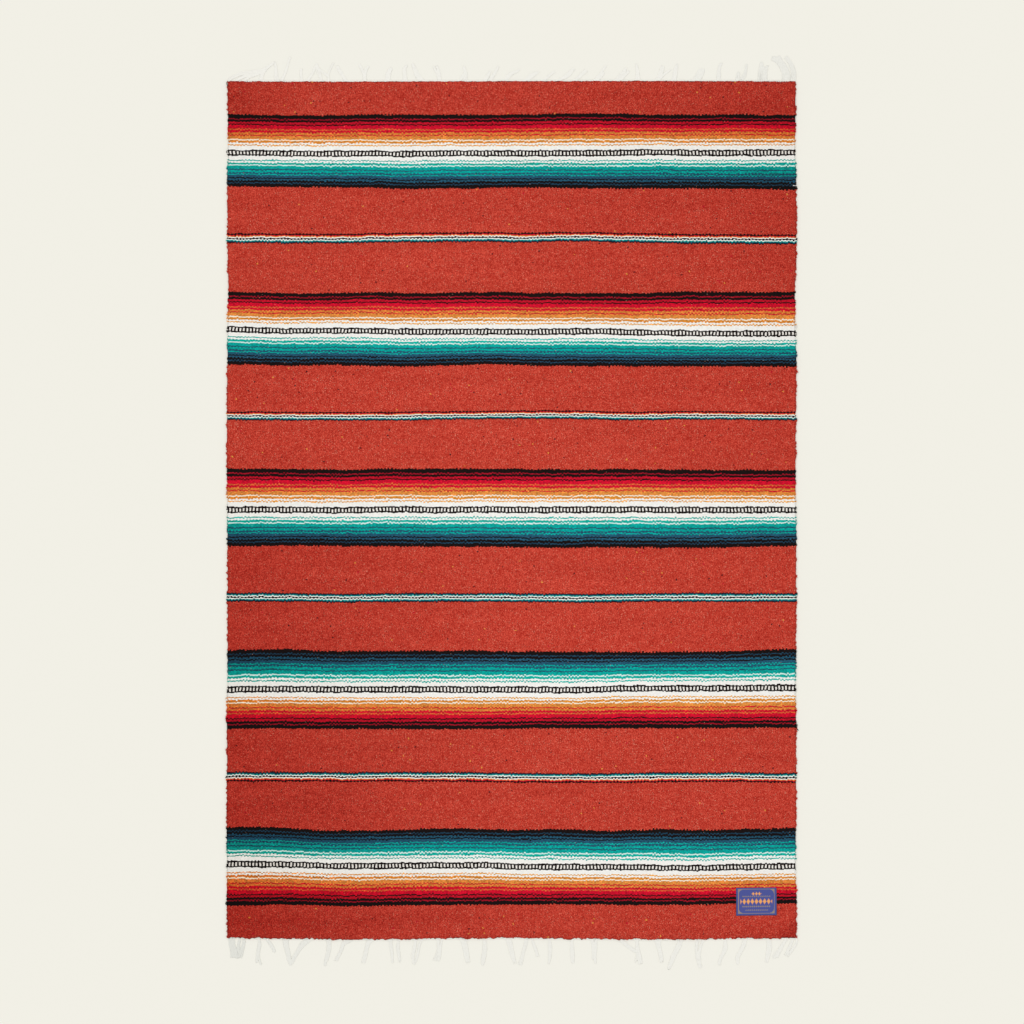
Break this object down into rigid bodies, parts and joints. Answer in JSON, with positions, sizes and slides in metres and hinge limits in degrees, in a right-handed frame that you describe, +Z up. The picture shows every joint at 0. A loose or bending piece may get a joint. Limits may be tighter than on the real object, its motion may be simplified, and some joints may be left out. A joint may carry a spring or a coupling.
{
  "type": "mexican serape",
  "caption": "Hand-loomed striped wool serape blanket, laid flat, with knotted white fringe at both ends and a small sewn label.",
  "frame": {"origin": "middle of the footprint, fringes included, at the floor the serape lies on", "axes": "+Z up out of the cloth's face, +Y along the length towards the upper end, +X along the width towards the side of the label"},
  "size_m": [1.3227, 2.1238, 0.0045],
  "materials": {
    "woven_wool": "weft-faced hand-loomed wool, brick red ground with striped bands, matt",
    "warp_cotton": "loose white cotton warp yarn, matt",
    "label_satin": "woven label satin, soft sheen"
  },
  "bodies": {
    "root": {"woven_cloth": "woven_wool", "fringe_top": "warp_cotton", "fringe_bottom": "warp_cotton", "label": "label_satin"}
  },
  "joints": []
}
